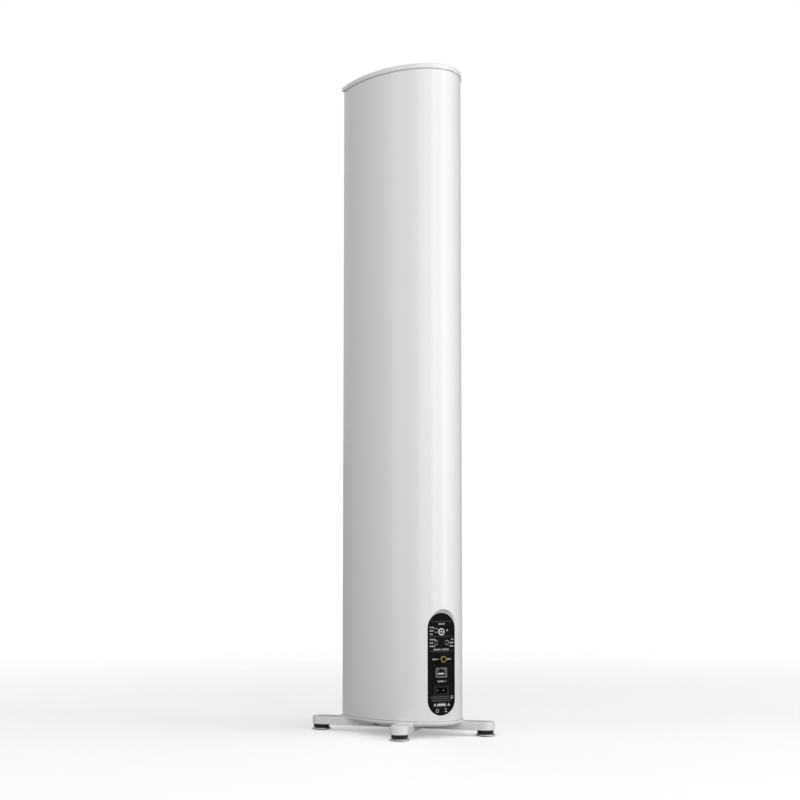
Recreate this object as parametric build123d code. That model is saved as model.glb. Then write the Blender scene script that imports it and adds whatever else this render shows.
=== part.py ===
from build123d import *
import math
import os

# Active column loudspeaker on a four-armed stand. Millimetres, +Z up.
# The origin is on the floor under the middle of the four feet. The front (grille) faces -Y and the
# rear (control panel) faces +Y.

# ---- driving dimensions ----
HEIGHT = 880.0            # floor to the top of the top cap
HALF_WIDTH = 69.0         # cabinet, half of its widest
FRONT_HALF_WIDTH = 66.8   # cabinet, half of its front edge
WIDE_Y = -33.0            # where the cabinet is widest
FRONT_Y = -64.5           # the cabinet's front edge
REAR_DEPTH = 124.5        # from the widest line to the rear apex, a half ellipse
WALL = 3.0                # cabinet wall
LIP = 5.5                 # depth of the front lips
SLOT_HALF = 57.5          # half of the opening between the front lips
CAP_OVERHANG = 1.2        # caps beyond the cabinet's sides and rear
CAP_FRONT_OVERHANG = 5.7  # caps beyond the cabinet's front, to cover the grille's ends
TOP_CAP_HEIGHT = 6.6
SHADOW_GAP = 1.3          # recessed line under the top cap
BASE_GAP = 0.7            # recessed line over the bottom cap
NECK_INSET = 2.5          # how deep both recessed lines go
PLUG_DEPTH = 7.0          # how far a cap's plug reaches into the cabinet
PLUG_CLEARANCE = 0.3

PAD_HEIGHT = 4.0
COLLAR_HEIGHT = 4.0
ARM_BOTTOM = PAD_HEIGHT + COLLAR_HEIGHT
STAND_TOP = 18.7
PLATE_THICKNESS = 3.1
BOTTOM_CAP_HEIGHT = 2.9
ARM_WIDTH = 24.0
ARM_CENTRE_Y = 15.0
FEET = {
    "rear_left": (63.0, 90.0),
    "rear_right": (-63.0, 90.0),
    "front_left": (86.0, -90.0),
    "front_right": (-86.0, -90.0),
}
STAND_BOLTS = [(0.0, 60.0), (0.0, -40.0), (52.0, 5.0), (-52.0, 5.0)]
STUD_RADIUS = 3.95
STUD_CLEARANCE = 0.05

SHELL_BOTTOM = STAND_TOP + BOTTOM_CAP_HEIGHT
TOP_PLATE_BOTTOM = HEIGHT - TOP_CAP_HEIGHT
SHELL_TOP = TOP_PLATE_BOTTOM - SHADOW_GAP
REAR_Y = WIDE_Y + REAR_DEPTH

# front baffle and what it carries
BAFFLE_FRONT = FRONT_Y + LIP
BAFFLE_THICKNESS = 9.0
BAFFLE_BACK = BAFFLE_FRONT + BAFFLE_THICKNESS
BAFFLE_HALF = 63.0
BAFFLE_SCREW_X = 61.3
BAFFLE_SCREW_Z = [70.0, 230.0, 390.0, 543.0, 660.0, 776.0]
TWEETER_Z = 815.0
MIDRANGE_Z = 722.0
WOOFER_Z = {"woofer_upper": 602.0, "woofer_lower": 484.0}
BRACE_Z = [300.0, 543.0, 655.5]
BRACE_THICKNESS = 9.0
BRACE_GAP = 0.3            # glue line between a brace and the cabinet

# drive units
DRIVERS = {
    "woofer_upper": {"flange": 56.0, "basket": 48.0, "cone": 37.4, "roll": 3.6, "seat": 31.0, "coil": 12.6},
    "woofer_lower": {"flange": 56.0, "basket": 48.0, "cone": 37.4, "roll": 3.6, "seat": 31.0, "coil": 12.6},
    "midrange": {"flange": 50.0, "basket": 42.0, "cone": 33.2, "roll": 2.6, "seat": 27.0, "coil": 12.6},
}
FLANGE_FRONT = BAFFLE_FRONT - 3.0
REBATE = FLANGE_FRONT + 1.5
CONE_NECK = -40.0
CONE_WALL = 0.8
DOME_RISE = 7.0
SPIDER_Y = -26.0
MOTOR_FRONT = -19.5
PLATE_DEPTH = 4.0
MAGNET_DEPTH = 14.0
POLE_RADIUS = 12.0
GAP_RADIUS = 13.2
COIL_HALF_WALL = 0.3
MAGNET_BORE = 17.0
COIL_END = -12.0
SURROUND_WALL = 0.5
SURROUND_RIM = 3.0
SPIDER_WALL = 0.45
SPIDER_WAVE = 1.1
SPIDER_FOLDS = 7
SCREW_PILOT = 1.55        # hole that a 3 mm screw bites in
SCREW_CLEAR = 1.7         # hole that a 3 mm screw passes
SCREW_DEPTH = 6.0
SCREW_HEAD = 2.7

# grille
GRILLE_HALF = 64.6
GRILLE_BACK = FRONT_Y - 0.2
GRILLE_DEPTH = 4.6
GRILLE_RAIL = 8.0
CLOTH_THICKNESS = 0.5
GRILLE_END_GAP = 0.6

# rear control panel
PANEL_Z = 94.0
PANEL_FACE = REAR_Y - 6.0
PANEL_THICKNESS = 2.0
PANEL_WIDTH = 40.0
PANEL_HEIGHT = 131.0
BEZEL_WIDTH = 44.6
BEZEL_HEIGHT = 140.6
BEZEL_GAP = 0.1
BEZEL_SLOPE = 0.65        # sideways for each millimetre out
BEZEL_FLANGE = (50.0, 139.0)
BEZEL_FLANGE_BACK = 76.6
BEZEL_FLANGE_FRONT = 79.0
LEDGE = 0.6
BOARD_BACK = 65.0
BOARD_FRONT = 66.6

BUTTON_PLACE = (0.0, 41.1)
LENS_PLACE = (-8.9, 42.9)
SELECTORS = {
    "source_selector": (7.4, 42.9),
    "placement_selector": (7.4, 27.3),
    "channel_selector": (-8.5, 27.3),
}
COAX_PLACE = (0.0, 6.3)
ETHERNET_PLACE = (0.0, -10.9)
INLET_PLACE = (0.0, -33.7)
ETHERNET_SIZE = (16.4, 12.3)
ETHERNET_WALL = 0.9
ETHERNET_DEPTH = 13.0
INLET_SIZE = (22.4, 13.1)
PROUD = 0.6               # jacks beyond the panel's face
PIN_SPACING = 8.6
PIN_RADIUS = 1.18
BARREL_RADIUS = 4.15
BARREL_LENGTH = 7.0
BARREL_NECK_RADIUS = 3.7  # the part of the barrel that goes through the panel
BARREL_BORE = 3.3
BARREL_CHAMFER = 0.45
CENTRE_BORE = 1.65
CENTRE_DEPTH = 10.0
BUTTON_RADIUS = 3.1
RING_RADIUS = 4.6         # the bright ring round the button
RING_SLEEVE = 4.1
LENS_RADIUS = 1.2
INLET_DEPTH = 12.5
SELECTOR_RADIUS = 2.25

os.makedirs("parts", exist_ok=True)
LOW = (Align.CENTER, Align.CENTER, Align.MIN)


# ---- helpers ----
def save(shape, node):
    export_step(shape, "parts/" + node + ".step")


def d_face(grow, front_y):
    """The cabinet's plan outline, grown sideways and to the rear, with its own front line."""
    half = HALF_WIDTH + grow
    front_half = FRONT_HALF_WIDTH + grow
    rear = EllipticalCenterArc((0, WIDE_Y), half, REAR_DEPTH + grow, start_angle=0, arc_size=180)
    right = TangentArc((half, WIDE_Y), (front_half, front_y), tangent=(0, -1))
    left = TangentArc((-half, WIDE_Y), (-front_half, front_y), tangent=(0, -1))
    front = Line((-front_half, front_y), (front_half, front_y))
    return make_face([rear, left, front, right])


def d_prism(grow, front_y, low, high):
    return Pos(0, 0, low) * extrude(d_face(grow, front_y), amount=high - low)


def block(low, high):
    size = [high[i] - low[i] for i in range(3)]
    middle = [(high[i] + low[i]) / 2 for i in range(3)]
    return Pos(*middle) * Box(*size)


def along_y(shape, x, z):
    """Stands a shape made round local Z on the line x, z, with its local height as Y."""
    return Pos(x, 0, z) * Rot(-90, 0, 0) * shape


def rod(radius, low, high, x, z):
    return along_y(Pos(0, 0, low) * Cylinder(radius, high - low, align=LOW), x, z)


def post(radius, low, high, x, y):
    return Pos(x, y, low) * Cylinder(radius, high - low, align=LOW)


def turned(points):
    """A profile of (radius, height) points turned round local Z."""
    face = make_face(Plane.XZ * Polyline(*points, close=True))
    return revolve(face, Axis.Z)


def washer(inner, outer, low, high):
    return turned([(inner, low), (outer, low), (outer, high), (inner, high)])


def obround(width, height, low, high, z):
    """A rounded-end slot prism standing upright, from y low to y high."""
    face = SlotOverall(height, width, rotation=90)
    return along_y(Pos(0, 0, low) * extrude(face, amount=high - low), 0, z)


def on_panel(place):
    return place[0], PANEL_Z + place[1]


# ---- cabinet and stand ----
def cabinet_shell():
    shell = d_prism(0, FRONT_Y, SHELL_BOTTOM, SHELL_TOP)
    shell -= d_prism(-WALL, BAFFLE_FRONT, SHELL_BOTTOM - 1, SHELL_TOP + 1)
    slot = block((-SLOT_HALF, FRONT_Y - 1, SHELL_BOTTOM - 1), (SLOT_HALF, BAFFLE_FRONT + 1, SHELL_TOP + 1))
    shell -= slot
    shell -= obround(BEZEL_WIDTH + 2 * BEZEL_GAP, BEZEL_HEIGHT + 2 * BEZEL_GAP, 60, REAR_Y + 5, PANEL_Z)
    for side in (-1, 1):
        for z in BAFFLE_SCREW_Z:
            shell -= baffle_screw_space(side * BAFFLE_SCREW_X, z, 0.05)
    return shell


def cap_plug(low, high):
    plug = d_prism(-WALL - PLUG_CLEARANCE, BAFFLE_BACK + 0.5, low, high)
    hollow = d_prism(-WALL - 4.0, BAFFLE_BACK + 4.5, low - 1, high + 1)
    return plug - hollow


def top_cap():
    front = FRONT_Y - CAP_FRONT_OVERHANG
    plate = d_prism(CAP_OVERHANG, front, TOP_PLATE_BOTTOM, HEIGHT)
    top_edges = plate.faces().sort_by(Axis.Z)[-1].edges()
    plate = fillet(top_edges, 1.8)
    low_edges = plate.faces().sort_by(Axis.Z)[0].edges()
    plate = fillet(low_edges, 0.5)
    neck = d_prism(-NECK_INSET, FRONT_Y + NECK_INSET, SHELL_TOP, TOP_PLATE_BOTTOM)
    return plate + neck + cap_plug(SHELL_TOP - PLUG_DEPTH, SHELL_TOP)


def bottom_cap():
    front = FRONT_Y - CAP_FRONT_OVERHANG
    plate = d_prism(CAP_OVERHANG, front, STAND_TOP, SHELL_BOTTOM - BASE_GAP)
    plate = fillet(plate.faces().sort_by(Axis.Z)[-1].edges(), 0.6)
    neck = d_prism(-NECK_INSET, FRONT_Y + NECK_INSET, SHELL_BOTTOM - BASE_GAP, SHELL_BOTTOM)
    plug = cap_plug(SHELL_BOTTOM, SHELL_BOTTOM + PLUG_DEPTH)
    bezel_room = BEZEL_FLANGE[0] / 2 + 2
    room_low = (-bezel_room, BEZEL_FLANGE_BACK - 2, SHELL_BOTTOM)
    room_high = (bezel_room, REAR_Y, SHELL_BOTTOM + PLUG_DEPTH + 1)
    plug -= block(room_low, room_high)
    cap = plate + neck + plug
    for x, y in STAND_BOLTS:
        cap += post(5.0, SHELL_BOTTOM, SHELL_BOTTOM + PLUG_DEPTH, x, y)
    for x, y in STAND_BOLTS:
        cap -= post(2.5, STAND_TOP - 1, SHELL_BOTTOM + PLUG_DEPTH - 1.5, x, y)
    return cap


def stand_arm(foot):
    reach_x = foot[0]
    reach_y = foot[1] - ARM_CENTRE_Y
    length = math.hypot(reach_x, reach_y)
    angle = math.degrees(math.atan2(reach_y, reach_x))
    face = SlotCenterToCenter(length, ARM_WIDTH, rotation=angle)
    bar = extrude(face, amount=STAND_TOP - ARM_BOTTOM)
    arm = Pos(reach_x / 2, ARM_CENTRE_Y + reach_y / 2, ARM_BOTTOM) * bar
    arm = fillet(arm.faces().sort_by(Axis.Z)[-1].edges(), 1.2)
    return fillet(arm.faces().sort_by(Axis.Z)[0].edges(), 0.8)


def stand_base():
    stand = d_prism(0.3, FRONT_Y, STAND_TOP - PLATE_THICKNESS, STAND_TOP)
    stand = chamfer(stand.faces().sort_by(Axis.Z)[0].edges(), 2.2)
    for foot in FEET.values():
        stand += stand_arm(foot)
    for x, y in FEET.values():
        stand -= post(STUD_RADIUS + STUD_CLEARANCE, ARM_BOTTOM - 1, STAND_TOP - 1.3, x, y)
    for x, y in STAND_BOLTS:
        stand -= post(2.7, ARM_BOTTOM - 1, STAND_TOP + 1, x, y)
    return stand


def stand_bolts():
    head_top = STAND_TOP - PLATE_THICKNESS
    bolt = post(2.45, head_top, STAND_TOP + 8.0, 0, 0)
    head = fillet(post(4.6, head_top - 2.6, head_top, 0, 0).faces().sort_by(Axis.Z)[0].edges(), 1.0)
    socket = Pos(0, 0, head_top - 3.0) * extrude(RegularPolygon(1.7, 6), amount=2.0)
    bolt = bolt + head - socket
    return Compound([Pos(x, y, 0) * bolt for x, y in STAND_BOLTS])


def foot_pad(foot):
    profile = [
        (0, 0),
        (7.5, 0),
        (12.2, 1.1),
        (12.75, 1.7),
        (12.6, 2.3),
        (9.6, PAD_HEIGHT),
        (0, PAD_HEIGHT),
    ]
    return Pos(foot[0], foot[1], 0) * turned(profile)


def foot_screw(foot):
    collar = Pos(0, 0, PAD_HEIGHT) * Cylinder(10.5, COLLAR_HEIGHT, align=LOW)
    collar = fillet(collar.edges().filter_by(GeomType.CIRCLE), 0.4)
    for step in range(24):
        groove = Pos(10.6, 0, PAD_HEIGHT + 0.8) * Cylinder(0.45, COLLAR_HEIGHT - 1.6, align=LOW)
        collar -= Rot(0, 0, 15 * step) * groove
    stud = Pos(0, 0, ARM_BOTTOM) * Cylinder(STUD_RADIUS, 9.0, align=LOW)
    stud = chamfer(stud.faces().sort_by(Axis.Z)[-1].edges(), 0.6)
    return Pos(foot[0], foot[1], 0) * (collar + stud)


# ---- baffle, braces and chamber ----
def baffle_screw_space(x, z, gap):
    """The space of one countersunk screw with its head flush in the lip's face."""
    head = 2.9 + gap
    shank = 1.5 + gap
    tip = BAFFLE_FRONT + SCREW_DEPTH
    profile = [(0, FRONT_Y), (head, FRONT_Y), (shank, FRONT_Y + 1.9), (shank, tip), (0, tip)]
    return along_y(turned(profile), x, z)


def baffle_screws():
    screws = []
    for side in (-1, 1):
        for z in BAFFLE_SCREW_Z:
            x = side * BAFFLE_SCREW_X
            recess = along_y(Pos(0, 0, FRONT_Y - 1) * extrude(RegularPolygon(1.1, 6), amount=2.2), x, z)
            screws.append(baffle_screw_space(x, z, 0) - recess)
    return Compound(screws)


def driver_places():
    places = dict(WOOFER_Z)
    places["midrange"] = MIDRANGE_Z
    return places


def front_baffle():
    low = (-BAFFLE_HALF, BAFFLE_FRONT, SHELL_BOTTOM + 0.4)
    high = (BAFFLE_HALF, BAFFLE_BACK, SHELL_TOP - 0.4)
    baffle = block(low, high)
    for node, z in driver_places().items():
        spec = DRIVERS[node]
        baffle -= rod(spec["basket"] + 0.3, BAFFLE_FRONT - 1, BAFFLE_BACK + 1, 0, z)
        for x, screw_z in driver_screw_places(spec, z):
            baffle -= rod(SCREW_PILOT, BAFFLE_FRONT - 1, BAFFLE_FRONT + 7.0, x, screw_z)
    baffle -= block((-32.3, BAFFLE_FRONT - 1, TWEETER_Z - 24.3), (32.3, BAFFLE_BACK + 1, TWEETER_Z + 24.3))
    for x, z in tweeter_screw_places():
        baffle -= rod(SCREW_PILOT, BAFFLE_FRONT - 1, BAFFLE_FRONT + 7.0, x, z)
    for side in (-1, 1):
        for z in BAFFLE_SCREW_Z:
            baffle -= rod(SCREW_PILOT, BAFFLE_FRONT - 1, BAFFLE_FRONT + SCREW_DEPTH, side * BAFFLE_SCREW_X, z)
    return baffle


def cross_braces():
    braces = []
    for z in BRACE_Z:
        low = z - BRACE_THICKNESS / 2
        high = z + BRACE_THICKNESS / 2
        brace = d_prism(-WALL - BRACE_GAP, BAFFLE_BACK, low, high)
        window = Pos(0, 14, low - 1) * extrude(RectangleRounded(84, 84, 18), amount=BRACE_THICKNESS + 2)
        braces.append(brace - window)
    return Compound(braces)


def midrange_chamber():
    outer = block((-56, BAFFLE_BACK, MIDRANGE_Z - 50), (56, 26, MIDRANGE_Z + 50))
    outer = fillet(outer.edges().filter_by(Axis.Z).sort_by(Axis.Y)[-2:], 12)
    inner = block((-52, BAFFLE_BACK - 1, MIDRANGE_Z - 46), (52, 22, MIDRANGE_Z + 46))
    inner = fillet(inner.edges().filter_by(Axis.Z).sort_by(Axis.Y)[-2:], 8)
    wire_hole = rod(3.2, 15, 30, 0, MIDRANGE_Z)
    return outer - inner - wire_hole


# ---- drive units ----
def driver_screw_places(spec, z):
    radius = spec["flange"] - 3.6
    return [
        (radius * math.cos(math.radians(turn)), z + radius * math.sin(math.radians(turn)))
        for turn in (45, 135, 225, 315)
    ]


def basket(spec, z):
    flange = spec["flange"]
    rim = spec["basket"]
    seat = spec["seat"]
    inner_rim = spec["cone"] + 2 * spec["roll"] + 0.9
    profile = [
        (inner_rim, REBATE),
        (inner_rim + 3.0, REBATE),
        (inner_rim + 3.0, FLANGE_FRONT),
        (flange - 0.8, FLANGE_FRONT),
        (flange, FLANGE_FRONT + 0.8),
        (flange, BAFFLE_FRONT),
        (rim, BAFFLE_FRONT),
        (rim, BAFFLE_FRONT + 5.0),
        (seat + 3.0, MOTOR_FRONT - 5.0),
        (seat + 3.0, MOTOR_FRONT),
        (18.0, MOTOR_FRONT),
        (18.0, MOTOR_FRONT - 2.5),
        (seat - 4.0, MOTOR_FRONT - 2.5),
        (seat - 4.0, SPIDER_Y),
        (seat + 0.8, SPIDER_Y),
        (rim - 2.2, BAFFLE_FRONT + 4.4),
        (rim - 2.2, REBATE + 2.0),
        (inner_rim, REBATE + 1.4),
    ]
    frame = turned(profile)
    for step in range(4):
        window = Pos(30, 0, -38.5) * Box(60, 34, 19)
        frame -= Rot(0, 0, 90 * step) * window
    frame = along_y(frame, 0, z)
    for x, screw_z in driver_screw_places(spec, z):
        frame -= rod(SCREW_CLEAR, FLANGE_FRONT - 1, BAFFLE_FRONT + 1, x, screw_z)
    return frame


def motor(spec, z):
    magnet = spec["seat"] + 3.0
    plate_back = MOTOR_FRONT + PLATE_DEPTH
    magnet_back = plate_back + MAGNET_DEPTH
    back = magnet_back + PLATE_DEPTH
    steel = magnet - 3.0
    front_plate = washer(GAP_RADIUS, steel, MOTOR_FRONT, plate_back)
    ring = washer(MAGNET_BORE, magnet, plate_back, magnet_back)
    yoke = turned([
        (0, MOTOR_FRONT),
        (POLE_RADIUS, MOTOR_FRONT),
        (POLE_RADIUS, magnet_back),
        (steel, magnet_back),
        (steel, back),
        (0, back),
    ])
    return Compound([along_y(piece, 0, z) for piece in (front_plate, ring, yoke)])


def surround(spec, z):
    """A rubber half roll with a flat rim glued in the basket's rebate."""
    low = spec["cone"] + 0.3
    high = low + 2 * spec["roll"]
    middle = (low + high) / 2
    rim = high + SURROUND_RIM
    wall = SURROUND_WALL
    base = REBATE
    lines = [
        Line((rim, base), (rim, base - wall)),
        Line((rim, base - wall), (high, base - wall)),
        ThreePointArc((high, base - wall), (middle, base - wall - spec["roll"]), (low, base - wall)),
        Line((low, base - wall), (low, base)),
        Line((low, base), (low + wall, base)),
        ThreePointArc((low + wall, base), (middle, base - spec["roll"] + wall), (high - wall, base)),
        Line((high - wall, base), (rim, base)),
    ]
    return along_y(revolve(make_face(Plane.XZ * Curve(lines)), Axis.Z), 0, z)


def cone(spec, z):
    """A thin moulded cone with a domed centre, on a flat ring that takes the voice coil."""
    edge = spec["cone"]
    front = REBATE - 0.2
    dome_edge = spec["coil"] - 0.6
    neck = spec["coil"] + 1.3
    dome_steps = 8
    flare_steps = 7
    dome = [
        (dome_edge * i / dome_steps, CONE_NECK - DOME_RISE * math.cos(math.pi / 2 * i / dome_steps))
        for i in range(dome_steps + 1)
    ]
    flare = []
    for i in range(flare_steps + 1):
        share = i / flare_steps
        flare.append((neck + (edge - 2.4 - neck) * share, CONE_NECK + (front - CONE_NECK) * share**1.25))
    near = dome + flare + [(edge, front)]
    far = [(r, y + CONE_WALL) for r, y in reversed(near)]
    return along_y(turned(near + far), 0, z)


def voice_coil(spec, z):
    coil = spec["coil"]
    low = CONE_NECK + CONE_WALL
    former = washer(coil - COIL_HALF_WALL, coil + COIL_HALF_WALL, low, COIL_END)
    return along_y(former, 0, z)


def spider(spec, z):
    """A corrugated cloth disc between the voice coil and the basket."""
    low = spec["coil"] + COIL_HALF_WALL + 0.3
    high = spec["seat"] + 0.4
    flat = high - 4.0
    near = SPIDER_Y - SPIDER_WALL
    step = (flat - low) / SPIDER_FOLDS
    front = [(low + step * i, near - (SPIDER_WAVE if i % 2 else 0.0)) for i in range(SPIDER_FOLDS)]
    back = [(r, y + SPIDER_WALL) for r, y in reversed(front)]
    rim = [(flat, near), (high, near), (high, SPIDER_Y), (flat, SPIDER_Y)]
    return along_y(turned(front + rim + back), 0, z)


def driver_screws():
    places = []
    for node, z in driver_places().items():
        places += driver_screw_places(DRIVERS[node], z)
    places += tweeter_screw_places()
    tip = BAFFLE_FRONT + SCREW_DEPTH
    profile = [
        (0, FLANGE_FRONT - 1.2),
        (1.6, FLANGE_FRONT - 1.2),
        (SCREW_HEAD, FLANGE_FRONT - 0.4),
        (SCREW_HEAD, FLANGE_FRONT),
        (1.5, FLANGE_FRONT),
        (1.5, tip),
        (0, tip),
    ]
    recess = Pos(0, 0, FLANGE_FRONT - 2) * extrude(RegularPolygon(0.9, 6), amount=2.0)
    screw = turned(profile) - recess
    return Compound([along_y(screw, x, z) for x, z in places])


# ---- tweeter ----
def tweeter_screw_places():
    return [(x, TWEETER_Z + z) for x in (-45, 45) for z in (-23, 23)]


def tweeter_faceplate():
    plate = extrude(RectangleRounded(104, 60, 6), amount=3.0)
    plate = chamfer(plate.faces().sort_by(Axis.Z)[0].edges(), 0.6)
    plate = along_y(Pos(0, 0, FLANGE_FRONT) * plate, 0, TWEETER_Z)
    horn_mouth = Plane.XZ.offset(-FLANGE_FRONT + 0.5) * Pos(0, TWEETER_Z) * RectangleRounded(44, 46, 5)
    horn_throat = Plane.XZ.offset(-BAFFLE_FRONT - 0.5) * Pos(0, TWEETER_Z) * RectangleRounded(25, 33, 1.5)
    plate -= loft([horn_mouth, horn_throat])
    for x, z in tweeter_screw_places():
        plate -= rod(SCREW_CLEAR, FLANGE_FRONT - 1, BAFFLE_FRONT + 1, x, z)
    return plate


def tweeter_diaphragm():
    """A folded ribbon: narrow vertical pleats in a flat surround."""
    pleats = 14
    width = 24.0
    step = width / pleats
    front = BAFFLE_FRONT + 1.2
    wall = 0.25
    near = [(-width / 2 + step * i, front + (2.2 if i % 2 else 0.0)) for i in range(pleats + 1)]
    far = [(x, y + wall) for x, y in reversed(near)]
    ribbon = Pos(0, 0, TWEETER_Z - 16) * extrude(make_face(Polyline(*near, *far, close=True)), amount=32)
    return ribbon


def tweeter_magnet():
    """The steel box and magnets that clamp the ribbon, with a pocket in front for it."""
    body = block((-32, BAFFLE_FRONT, TWEETER_Z - 24), (32, -26, TWEETER_Z + 24))
    body = fillet(body.edges().filter_by(Axis.Y), 3)
    pocket = block((-12.6, BAFFLE_FRONT - 1, TWEETER_Z - 16.6), (12.6, BAFFLE_FRONT + 4.5, TWEETER_Z + 16.6))
    body -= pocket
    for side in (-1, 1):
        body -= block((side * 20 - 4, -38, TWEETER_Z - 16), (side * 20 + 4, -25, TWEETER_Z + 16))
    return body


# ---- grille ----
def grille_span():
    return SHELL_BOTTOM + GRILLE_END_GAP, TOP_PLATE_BOTTOM - GRILLE_END_GAP


def grille_magnet_places():
    return [(side * BAFFLE_SCREW_X, z) for side in (-1, 1) for z in BAFFLE_SCREW_Z]


def grille_frame():
    low, high = grille_span()
    middle = (low + high) / 2
    height = high - low
    front = GRILLE_BACK - GRILLE_DEPTH
    plate = extrude(RectangleRounded(2 * GRILLE_HALF, height, 2.0), amount=GRILLE_DEPTH)
    frame = along_y(Pos(0, 0, front) * plate, 0, middle)
    frame = fillet(frame.faces().sort_by(Axis.Y)[0].edges(), 1.2)
    bars = [low + GRILLE_RAIL, 120.0, 300.0, 425.0, 543.0, 661.0, 779.0, high - GRILLE_RAIL]
    inner = GRILLE_HALF - GRILLE_RAIL
    for number in range(len(bars) - 1):
        window_low = bars[number] + (3.0 if number else 0.0)
        window_high = bars[number + 1] - (3.0 if number < len(bars) - 2 else 0.0)
        window_middle = (window_low + window_high) / 2
        face = RectangleRounded(2 * inner, window_high - window_low, 5.0)
        frame -= along_y(Pos(0, 0, front - 1) * extrude(face, amount=GRILLE_DEPTH + 2), 0, window_middle)
    for x, z in grille_magnet_places():
        frame -= rod(3.0, GRILLE_BACK - 2.0, GRILLE_BACK + 1, x, z)
    return frame


def grille_cloth():
    low, high = grille_span()
    front = GRILLE_BACK - GRILLE_DEPTH
    face = RectangleRounded(2 * GRILLE_HALF - 1.0, high - low - 1.0, 1.6)
    cloth = extrude(face, amount=CLOTH_THICKNESS)
    return along_y(Pos(0, 0, front - CLOTH_THICKNESS) * cloth, 0, (low + high) / 2)


def grille_magnets():
    return Compound([rod(3.0, GRILLE_BACK - 2.0, GRILLE_BACK - 0.1, x, z) for x, z in grille_magnet_places()])


# ---- rear control panel ----
def obround_face(width, height, y):
    return Plane.XZ.offset(-y) * Pos(0, PANEL_Z) * SlotOverall(height, width, rotation=90)


def panel_bezel():
    """Fills the cabinet's rear opening, flush with the curved wall, and slopes down to the panel."""
    bezel = obround(BEZEL_WIDTH, BEZEL_HEIGHT, BEZEL_FLANGE_FRONT, REAR_Y + 2, PANEL_Z)
    bezel = bezel & d_prism(0, FRONT_Y, 0, 300)
    bezel += obround(BEZEL_FLANGE[0], BEZEL_FLANGE[1], BEZEL_FLANGE_BACK, BEZEL_FLANGE_FRONT, PANEL_Z)
    rise = REAR_Y - PANEL_FACE + 2.0
    foot_width = PANEL_WIDTH + 2 * LEDGE
    foot_height = PANEL_HEIGHT + 2 * LEDGE
    spread = 2 * BEZEL_SLOPE * rise
    slope = loft([
        obround_face(foot_width, foot_height, PANEL_FACE),
        obround_face(foot_width + spread, foot_height + spread, PANEL_FACE + rise),
    ])
    bezel -= slope
    panel_back = PANEL_FACE - PANEL_THICKNESS
    bezel -= obround(PANEL_WIDTH + 0.2, PANEL_HEIGHT + 0.2, panel_back, PANEL_FACE + 1, PANEL_Z)
    bezel -= obround(PANEL_WIDTH - 4, PANEL_HEIGHT - 4, 70, PANEL_FACE, PANEL_Z)
    return bezel


def control_panel():
    back = PANEL_FACE - PANEL_THICKNESS
    panel = obround(PANEL_WIDTH, PANEL_HEIGHT, back, PANEL_FACE, PANEL_Z)
    x, z = on_panel(BUTTON_PLACE)
    panel -= rod(RING_SLEEVE + 0.1, back - 1, PANEL_FACE + 1, x, z)
    x, z = on_panel(LENS_PLACE)
    panel -= rod(LENS_RADIUS + 0.1, back - 1, PANEL_FACE + 1, x, z)
    for place in SELECTORS.values():
        x, z = on_panel(place)
        panel -= rod(SELECTOR_RADIUS + 0.08, back - 1, PANEL_FACE + 1, x, z)
    x, z = on_panel(COAX_PLACE)
    panel -= rod(BARREL_NECK_RADIUS, back - 1, PANEL_FACE + 1, x, z)
    for place, size in ((ETHERNET_PLACE, ETHERNET_SIZE), (INLET_PLACE, INLET_SIZE)):
        x, z = on_panel(place)
        half_x = size[0] / 2 + 0.1
        half_z = size[1] / 2 + 0.1
        panel -= block((x - half_x, back - 1, z - half_z), (x + half_x, PANEL_FACE + 1, z + half_z))
    return panel


def setup_button_ring():
    x, z = on_panel(BUTTON_PLACE)
    inner = BUTTON_RADIUS + 0.08
    front = PANEL_FACE + 1.2
    profile = [
        (inner, PANEL_FACE - 4),
        (RING_SLEEVE, PANEL_FACE - 4),
        (RING_SLEEVE, PANEL_FACE),
        (RING_RADIUS, PANEL_FACE),
        (RING_RADIUS, front - 0.5),
        (RING_RADIUS - 0.4, front),
        (inner + 0.4, front),
        (inner, front - 0.4),
    ]
    return along_y(turned(profile), x, z)


def setup_button():
    x, z = on_panel(BUTTON_PLACE)
    front = PANEL_FACE + 1.0
    shoulder = 79.0
    profile = [
        (0, 70.75),
        (1.5, 70.75),
        (1.5, shoulder),
        (BUTTON_RADIUS, shoulder),
        (BUTTON_RADIUS, front - 0.3),
        (BUTTON_RADIUS - 0.3, front),
        (0, front),
    ]
    return along_y(turned(profile), x, z)


def selector(place):
    x, z = on_panel(place)
    front = PANEL_FACE + 0.8
    shoulder = PANEL_FACE - 1.6
    profile = [
        (0, 70.05),
        (1.25, 70.05),
        (1.25, shoulder),
        (SELECTOR_RADIUS, shoulder),
        (SELECTOR_RADIUS, front - 0.2),
        (SELECTOR_RADIUS - 0.2, front),
        (0, front),
    ]
    knob = along_y(turned(profile), x, z)
    return knob - block((x - 1.9, front - 0.6, z - 0.35), (x + 1.9, front + 1, z + 0.35))


def status_lens():
    x, z = on_panel(LENS_PLACE)
    profile = [
        (0, 80.0),
        (LENS_RADIUS, 80.0),
        (LENS_RADIUS, PANEL_FACE + 0.1),
        (LENS_RADIUS - 0.5, PANEL_FACE + 0.45),
        (0, PANEL_FACE + 0.5),
    ]
    return along_y(turned(profile), x, z)


def coax_jack():
    """The gold outer barrel: a thinner neck through the panel and the barrel that a plug grips."""
    x, z = on_panel(COAX_PLACE)
    front = PANEL_FACE + BARREL_LENGTH
    back = PANEL_FACE - PANEL_THICKNESS
    profile = [
        (BARREL_BORE, back),
        (BARREL_NECK_RADIUS, back),
        (BARREL_NECK_RADIUS, PANEL_FACE),
        (BARREL_RADIUS, PANEL_FACE),
        (BARREL_RADIUS, front - BARREL_CHAMFER),
        (BARREL_RADIUS - BARREL_CHAMFER, front),
        (BARREL_BORE, front),
    ]
    return along_y(turned(profile), x, z)


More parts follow.
